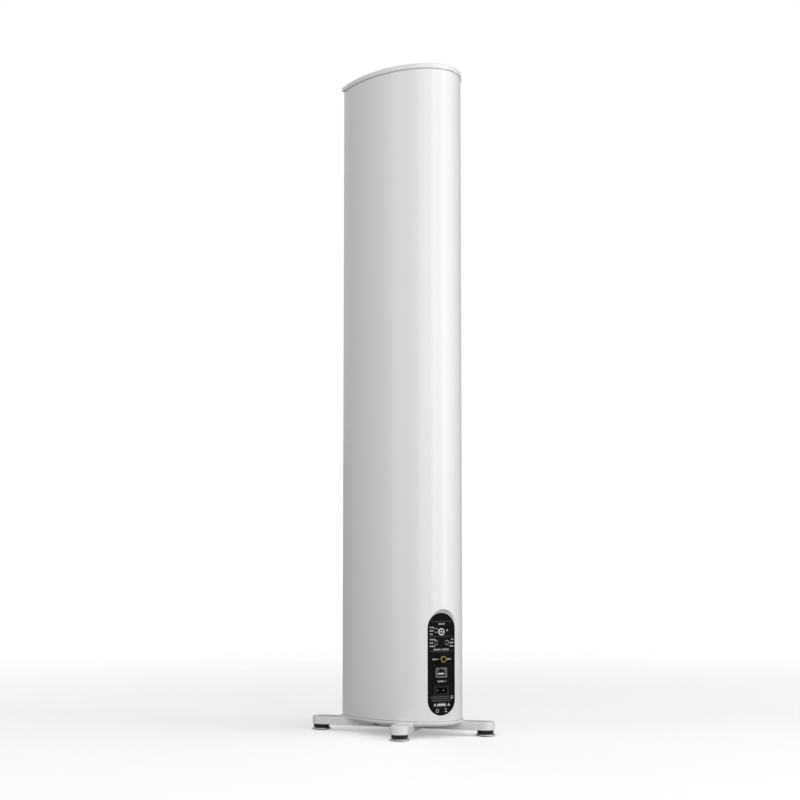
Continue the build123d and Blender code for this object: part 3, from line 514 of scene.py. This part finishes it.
DRIVERS = ("midrange", "woofer_upper", "woofer_lower")
CORNERS = ("rear_left", "rear_right", "front_left", "front_right")
FINISHES = {
    "cabinet_shell": WHITE_LACQUER,
    "stand_base": WHITE_LACQUER,
    "top_cap": WHITE_MOULDING,
    "bottom_cap": WHITE_MOULDING,
    "panel_bezel": WHITE_MOULDING,
    "control_panel": BLACK_PANEL,
    "setup_button_ring": RING_METAL,
    "setup_button": BLACK_MOULDING,
    "source_selector": BLACK_MOULDING,
    "placement_selector": BLACK_MOULDING,
    "channel_selector": BLACK_MOULDING,
    "status_lens": LENS_PLASTIC,
    "coax_jack": GOLD,
    "coax_insulator": BLACK_MOULDING,
    "ethernet_jack": TIN_PLATE,
    "ethernet_insert": SOCKET_GREY,
    "mains_inlet": BLACK_MOULDING,
    "inlet_pins": PIN_METAL,
    "main_board": CIRCUIT_BOARD,
    "board_parts": COMPONENTS,
    "power_supply": COMPONENTS,
    "wiring_loom": WIRE_SLEEVE,
    "front_baffle": BLACK_CASTING,
    "cross_braces": FIBREBOARD,
    "midrange_chamber": FIBREBOARD,
    "baffle_screws": BLACK_STEEL,
    "driver_screws": BLACK_STEEL,
    "stand_bolts": BLACK_STEEL,
    "tweeter_faceplate": BLACK_MOULDING,
    "tweeter_diaphragm": RIBBON_FILM,
    "tweeter_magnet": MAGNET_STEEL,
    "grille_frame": FRAME_MOULDING,
    "grille_magnets": MAGNET_STEEL,
}
for corner in CORNERS:
    FINISHES["foot_pad_" + corner] = FOOT_METAL
    FINISHES["foot_screw_" + corner] = BLACK_STEEL
for driver in DRIVERS:
    FINISHES[driver + "_basket"] = BLACK_CASTING
    FINISHES[driver + "_motor"] = MAGNET_STEEL
    FINISHES[driver + "_cone"] = cone_plastic(driver + "_cone")
    FINISHES[driver + "_voice_coil"] = COIL_METAL
    FINISHES[driver + "_spider"] = SPIDER_CLOTH
    FINISHES[driver + "_surround"] = RUBBER
for node, material in FINISHES.items():
    dress(node, material)
print("dressed", len(FINISHES), "nodes")

# %% [markdown]
# ## New pieces
# A new piece is built in a bmesh, cleaned, given a finish, and told which body it rides on. The piece's
# object stays at the origin with its place in its mesh, like the frame's own nodes.

# %% A helper that finishes a piece
WELD = 0.001 * MM


def piece_from(bm, name, material, body, smooth_angle=35.0):
    bmesh.ops.remove_doubles(bm, verts=bm.verts, dist=WELD)
    bmesh.ops.recalc_face_normals(bm, faces=bm.faces)
    mesh = bpy.data.meshes.new(name)
    bm.to_mesh(mesh)
    bm.free()
    mesh.materials.append(material)
    mesh.shade_smooth()
    mesh.set_sharp_from_angle(angle=math.radians(smooth_angle))
    piece = bpy.data.objects.new(name, mesh)
    bpy.context.scene.collection.objects.link(piece)
    if body is not None:
        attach(piece, body)
    print(name, len(mesh.polygons), "faces")
    return piece


# %% [markdown]
# ## Grille cloth
# The grille is black knitted cloth, stretched over a moulded frame and wrapped round its edges. A cube
# without its back face has the wrapped shape; bevelling its front edges gives the soft corner that
# cloth takes, and Solidify gives it a thickness. The knit is a bump of staggered loops.

# %% The cloth over the grille
CLOTH_THICKNESS = 0.4 * MM
LOOP_WIDTH = 1.5 * MM
LOOP_HEIGHT = 1.1 * MM
CORNER_RADIUS = 2.0 * MM
FOLD_RADIUS = 1.3 * MM      # how tightly the cloth turns over the frame's front edge


def knit():
    mat, tree, shader, place = start("grille_fabric", (0.02, 0.02, 0.021), 0.85)
    x, y, z = axes(tree, place)
    along = sums(tree, "MULTIPLY", sums(tree, "ADD", x, y), math.pi / LOOP_WIDTH)
    up = sums(tree, "MULTIPLY", z, math.pi / LOOP_HEIGHT)
    first = sums(tree, "SINE", sums(tree, "ADD", along, up), 0.0)
    second = sums(tree, "SINE", sums(tree, "SUBTRACT", along, up), 0.0)
    loops = sums(tree, "ABSOLUTE", sums(tree, "MULTIPLY", first, second), 0.0)
    fuzz = noise(tree, place, 2600.0, 3.0)
    height = sums(tree, "ADD", loops, sums(tree, "MULTIPLY", fuzz, 0.35))
    shade = two_colors(tree, height, (0.004, 0.004, 0.0045), (0.04, 0.04, 0.042), 0.15, 1.0)
    tree.links.new(shade, shader.inputs["Base Color"])
    shader.inputs["Sheen Weight"].default_value = 0.25
    shader.inputs["Sheen Roughness"].default_value = 0.5
    raise_surface(tree, shader, height, 0.00025, 0.9)
    return mat


GRILLE_FABRIC = knit()


def grille_cloth():
    frame_low, frame_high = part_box("grille_frame")
    skin_low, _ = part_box("grille_cloth")
    front = skin_low[1]
    half_x = frame_high[0] + CLOTH_THICKNESS
    low_z = frame_low[2] - CLOTH_THICKNESS
    high_z = frame_high[2] + CLOTH_THICKNESS
    back = frame_high[1]
    bm = bmesh.new()
    bmesh.ops.create_cube(bm, size=1.0)
    size = Vector((2 * half_x, back - front, high_z - low_z))
    middle = Vector((0.0, (front + back) / 2, (low_z + high_z) / 2))
    bmesh.ops.scale(bm, vec=size, verts=bm.verts)
    bmesh.ops.translate(bm, vec=middle, verts=bm.verts)
    back_face = [f for f in bm.faces if f.normal.y > 0.9]
    bmesh.ops.delete(bm, geom=back_face, context="FACES_ONLY")
    corners = [e for e in bm.edges if abs(e.verts[0].co.y - e.verts[1].co.y) > 0.001]
    bmesh.ops.bevel(bm, geom=corners, offset=CORNER_RADIUS, segments=5, profile=0.5,
                    affect="EDGES", material=-1)
    rim = [e for e in bm.edges if all(v.co.y < front + 0.0001 for v in e.verts)]
    bmesh.ops.bevel(bm, geom=rim, offset=FOLD_RADIUS, segments=4, profile=0.5,
                    affect="EDGES", material=-1)
    area = sum(f.calc_area() for f in bm.faces)
    cloth = piece_from(bm, "stretched_cloth", GRILLE_FABRIC, "grille", 60.0)
    thick = cloth.modifiers.new("thickness", "SOLIDIFY")
    thick.thickness = CLOTH_THICKNESS
    thick.offset = -1.0
    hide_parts("grille_cloth")
    return cloth


grille_cloth()

# %% [markdown]
# ## Rubber surrounds
# A surround is a half roll of rubber between the basket, which is still, and the cone, which moves in and
# out.

# %% The surrounds
RUBBER_THICKNESS = 0.5 * MM
RIM_WIDTH = 3.0 * MM        # the flat edge that is glued to the basket
LIP_WIDTH = 0.7 * MM        # the flat edge that is glued to the cone
CONE_LAP = 0.4 * MM         # how far that edge laps the cone
RIM_STEP = 0.4 * MM
ROLL_STEPS = 14
SPIN_STEPS = 72


def surround_piece(driver):
    low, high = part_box(driver + "_surround")
    cone_low, cone_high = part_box(driver + "_cone")
    centre = Vector(((low[0] + high[0]) / 2, 0.0, (low[2] + high[2]) / 2))
    outer = (high[0] - low[0]) / 2
    inner = (cone_high[0] - cone_low[0]) / 2 - CONE_LAP
    base = high[1]
    roll_front = low[1]
    rim = outer - RIM_WIDTH
    roll_middle = (inner + LIP_WIDTH + rim) / 2
    roll_radius = (rim - inner - LIP_WIDTH) / 2
    rise = base - roll_front - RUBBER_THICKNESS
    flat = base - RUBBER_THICKNESS / 2
    bm = bmesh.new()
    outline = [(outer, flat), (rim + RIM_STEP, flat)]
    for i in range(ROLL_STEPS + 1):
        angle = math.pi * i / ROLL_STEPS
        outline.append((roll_middle + roll_radius * math.cos(angle), flat - rise * math.sin(angle)))
    outline.append((inner, flat))
    verts = [bm.verts.new((centre.x + r, y, centre.z)) for r, y in outline]
    edges = [bm.edges.new(pair) for pair in zip(verts, verts[1:])]
    bmesh.ops.spin(bm, geom=verts + edges, cent=centre, axis=(0, 1, 0), dvec=(0, 0, 0),
                   angle=2 * math.pi, steps=SPIN_STEPS, use_merge=True, use_duplicate=False)
    bmesh.ops.remove_doubles(bm, verts=bm.verts, dist=10 * WELD)
    bmesh.ops.recalc_face_normals(bm, faces=bm.faces)
    bmesh.ops.solidify(bm, geom=bm.faces, thickness=RUBBER_THICKNESS)
    piece = piece_from(bm, driver + "_roll", RUBBER, None, 50.0)
    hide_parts(driver + "_surround")
    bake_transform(piece)
    return piece


for driver in DRIVERS:
    surround_piece(driver)

# %% [markdown]
# ## Printing on the panel
# The panel is printed in pale ink: rules between its sections, a mark for each setting, ring marks round
# the selectors, and small symbols at the foot. Ink is a real layer, so each mark is a thin plate, three
# hundredths of a millimetre high, lying on the panel. Only plain strokes and shapes are printed. Marks of
# one ink are gathered in one bmesh, because a screen print is one layer.

# %% Ink, and the tools that draw with it
panel_low, panel_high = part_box("control_panel")
PANEL_FACE = panel_high[1]
PANEL_CENTRE_Z = (panel_low[2] + panel_high[2]) / 2
INK_HEIGHT = 0.03 * MM


def ink_material(name, tone):
    mat, tree, shader, place = start(name, (tone, tone, tone), 0.55)
    wear = noise(tree, place, 2400.0, 3.0)
    tree.links.new(two_colors(tree, wear, (tone * 0.75,) * 3, (tone,) * 3), shader.inputs["Base Color"])
    raise_surface(tree, shader, wear, 0.00001, 0.5)
    return mat


INK = ink_material("panel_ink", 0.6)
DIM_INK = ink_material("panel_ink_dim", 0.13)


def spot(across, up):
    """A point on the panel's face, from millimetres right of and above its middle, as seen from behind."""
    return Vector((-across * MM, PANEL_FACE, PANEL_CENTRE_Z + up * MM))


def raise_ink(bm, faces):
    grown = bmesh.ops.extrude_face_region(bm, geom=faces)
    tops = [g for g in grown["geom"] if isinstance(g, bmesh.types.BMVert)]
    bmesh.ops.translate(bm, verts=tops, vec=(0, INK_HEIGHT, 0))


def stroke(bm, across, up, width, height, corner=0.2):
    """A rounded bar, centred on a spot."""
    made = bmesh.ops.create_grid(bm, x_segments=1, y_segments=1, size=0.5)
    verts = made["verts"]
    bmesh.ops.scale(bm, vec=(width * MM, height * MM, 1), verts=verts)
    bmesh.ops.rotate(bm, verts=verts, matrix=Matrix.Rotation(math.radians(90), 3, "X"))
    bmesh.ops.translate(bm, vec=spot(across, up), verts=verts)
    corner = min(corner, 0.45 * min(width, height))
    rounded = bmesh.ops.bevel(bm, geom=verts, offset=corner * MM, segments=3, profile=0.5,
                              affect="VERTICES", material=-1)
    face = {f for v in rounded["verts"] for f in v.link_faces}
    raise_ink(bm, list(face))


def ring(bm, across, up, radius, width, start_turn=0.0, end_turn=360.0, steps=32):
    """A printed arc: a short radial edge spun round its centre."""
    centre = spot(across, up)
    turn = math.radians(start_turn)
    way = Vector((-math.cos(turn), 0, math.sin(turn)))
    ends = [bm.verts.new(centre + way * (radius + side * width / 2) * MM) for side in (-1, 1)]
    edge = bm.edges.new(ends)
    full = abs(end_turn - start_turn) > 359.0
    bmesh.ops.spin(bm, geom=ends + [edge], cent=centre, axis=(0, 1, 0), dvec=(0, 0, 0),
                   angle=math.radians(end_turn - start_turn), steps=steps, use_merge=full,
                   use_duplicate=False)
    seen = {f for v in ends for f in v.link_faces}
    grow = list(seen)
    while grow:
        face = grow.pop()
        for e in face.edges:
            for other in e.link_faces:
                if other not in seen:
                    seen.add(other)
                    grow.append(other)
    raise_ink(bm, list(seen))


print("panel face at", round(PANEL_FACE, 4), "centre", round(PANEL_CENTRE_Z, 4))

# %% Where the printing goes
# Places are in millimetres from the panel's middle: across to the right, and up.
SELECTORS = ((-7.4, 42.9), (-7.4, 27.3), (8.5, 27.3))
LEFT_EDGE = -16.9
RIGHT_EDGE = 18.2
MIDDLE = 0.4
LETTER = 1.15
LETTER_HEIGHT = 1.9
# A mark is (up, width); a line of words is (left, up, width, height); a rule is (up, width, thickness).
MODE_MARKS = ((46.9, 6.5), (42.6, 5.3), (38.3, 4.1))
PLACE_MARKS = ((31.4, 8.9), (27.2, 4.7), (22.9, 7.9))
CHANNEL_MARKS = ((31.4, 3.6), (27.2, 6.3), (22.9, 5.7))
SECTION_WORDS = ((-3.9, 51.2, 9.2, 2.1), (-11.0, 18.7, 10.6, 2.1), (1.2, 18.7, 10.0, 2.1))
SOCKET_WORDS = ((-12.9, 6.3, 8.0, 2.2), (8.0, 6.3, 6.4, 2.2), (-5.0, -21.9, 9.0, 2.2))
SMALL_WORDS = (
    (-16.0, -41.5, 27.5, 1.2),
    (-15.0, -43.6, 27.0, 1.0),
    (-13.6, -46.3, 28.0, 1.2),
    (-5.0, -49.2, 11.0, 0.7),
)
RULES = ((54.2, 31.0, 0.32), (35.3, 35.0, 0.32), (16.2, 34.0, 0.32), (-54.4, 17.0, 0.35))
ARC_RADIUS = 2.75
ARC_WIDTH = 0.45
ARCS = ((25.0, 155.0), (205.0, 335.0))
SQUARE_PLACE = (-5.7, -59.4)
SQUARE_SIZE = 3.3
SQUARE_LINE = 0.6
TRIANGLES_ACROSS = (-9.3, 10.8)
TRIANGLES_UP = -52.0
print("printed lines", len(SECTION_WORDS + SOCKET_WORDS + SMALL_WORDS + RULES))


# %% Draw the panel's printing
def words(bm, left, up, width, height=LETTER_HEIGHT):
    """A run of short upright strokes that stands where a word would be."""
    letters = max(2, round(width / LETTER))
    pitch = width / letters
    for i in range(letters):
        tall = height * (1.0 if i % 3 == 0 else 0.74)
        stroke(bm, left + pitch * (i + 0.5), up - (height - tall) / 2, pitch * 0.66, tall, 0.12)


def bright_printing():
    bm = bmesh.new()
    for line in SECTION_WORDS:
        words(bm, *line)
    for place in SELECTORS:
        for start_turn, end_turn in ARCS:
            ring(bm, *place, ARC_RADIUS, ARC_WIDTH, start_turn, end_turn, 16)
    for up, width in MODE_MARKS + PLACE_MARKS:
        words(bm, LEFT_EDGE, up, width)
    for up, width in CHANNEL_MARKS:
        words(bm, RIGHT_EDGE - width, up, width)
    for line in SOCKET_WORDS:
        words(bm, *line)
    stroke(bm, 6.4, -21.9, 0.5, 2.2)
    return piece_from(bm, "panel_printing", INK, "cabinet")


def symbols():
    """The plain shapes at the foot of the panel: two triangles, a bar, a square, and two rings over bars."""
    bm = bmesh.new()
    for across in TRIANGLES_ACROSS:
        ring(bm, across, TRIANGLES_UP, 1.45, 1.9, 90.0, 450.0, 3)
    stroke(bm, 0.5, -51.8, 12.4, 2.9, 0.5)
    across, up = SQUARE_PLACE
    for side in (-1, 1):
        reach = side * SQUARE_SIZE / 2
        stroke(bm, across + reach, up, SQUARE_LINE, SQUARE_SIZE + SQUARE_LINE, 0.1)
        stroke(bm, across, up + reach, SQUARE_SIZE, SQUARE_LINE, 0.1)
    stroke(bm, 6.8, -60.6, 3.4, 1.1, 0.3)
    ring(bm, 6.8, -57.4, 1.0, 0.4)
    ring(bm, 15.6, -42.0, 1.5, 0.5)
    stroke(bm, 15.6, -44.0, 3.4, 0.7, 0.2)
    return piece_from(bm, "panel_symbols", INK, "cabinet")


def fine_printing():
    bm = bmesh.new()
    for up, width, thickness in RULES:
        stroke(bm, MIDDLE, up, width, thickness, 0.1)
    for line in SMALL_WORDS:
        words(bm, *line)
    return piece_from(bm, "panel_fine_printing", DIM_INK, "cabinet")


bright_printing()
symbols()
fine_printing()

# %% [markdown]
# ## Contacts and the button's dot
# Eight sprung wires lie in the network socket's mouth. Each is a thin strip that slopes down into the mouth.
# The setup button carries a small pale disc of ink at its centre.

# %% Small bright parts
CONTACT_COUNT = 8
CONTACT_PITCH = 1.12
CONTACT_UP = -12.3
CONTACT_DEPTH = 1.0
CONTACT_SIZE = Vector((0.78, 0.35, 1.9)) * MM
CONTACT_SLOPE = math.radians(25)
DOT_RADIUS = 1.35 * MM


def network_contacts():
    bm = bmesh.new()
    for i in range(CONTACT_COUNT):
        across = (i - (CONTACT_COUNT - 1) / 2) * CONTACT_PITCH
        made = bmesh.ops.create_cube(bm, size=1.0)
        bmesh.ops.scale(bm, vec=CONTACT_SIZE, verts=made["verts"])
        bmesh.ops.rotate(bm, verts=made["verts"], matrix=Matrix.Rotation(CONTACT_SLOPE, 3, "X"))
        place = spot(across, CONTACT_UP) + Vector((0, -CONTACT_DEPTH * MM, 0))
        bmesh.ops.translate(bm, vec=place, verts=made["verts"])
    bmesh.ops.bevel(bm, geom=list(bm.edges), offset=0.08 * MM, segments=2, profile=0.5,
                    affect="EDGES", material=-1)
    return piece_from(bm, "network_contacts", CONTACT_METAL, "cabinet")


def button_dot():
    button_low, button_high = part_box("setup_button")
    centre = (Vector(button_low) + Vector(button_high)) / 2
    bm = bmesh.new()
    bmesh.ops.create_circle(bm, cap_ends=True, segments=40, radius=DOT_RADIUS)
    bmesh.ops.rotate(bm, verts=bm.verts, matrix=Matrix.Rotation(math.radians(-90), 3, "X"))
    place = Vector((centre.x, button_high[1], centre.z))
    bmesh.ops.translate(bm, vec=place, verts=bm.verts)
    raise_ink(bm, list(bm.faces))
    return piece_from(bm, "button_dot", INK, "setup_button")


network_contacts()
button_dot()
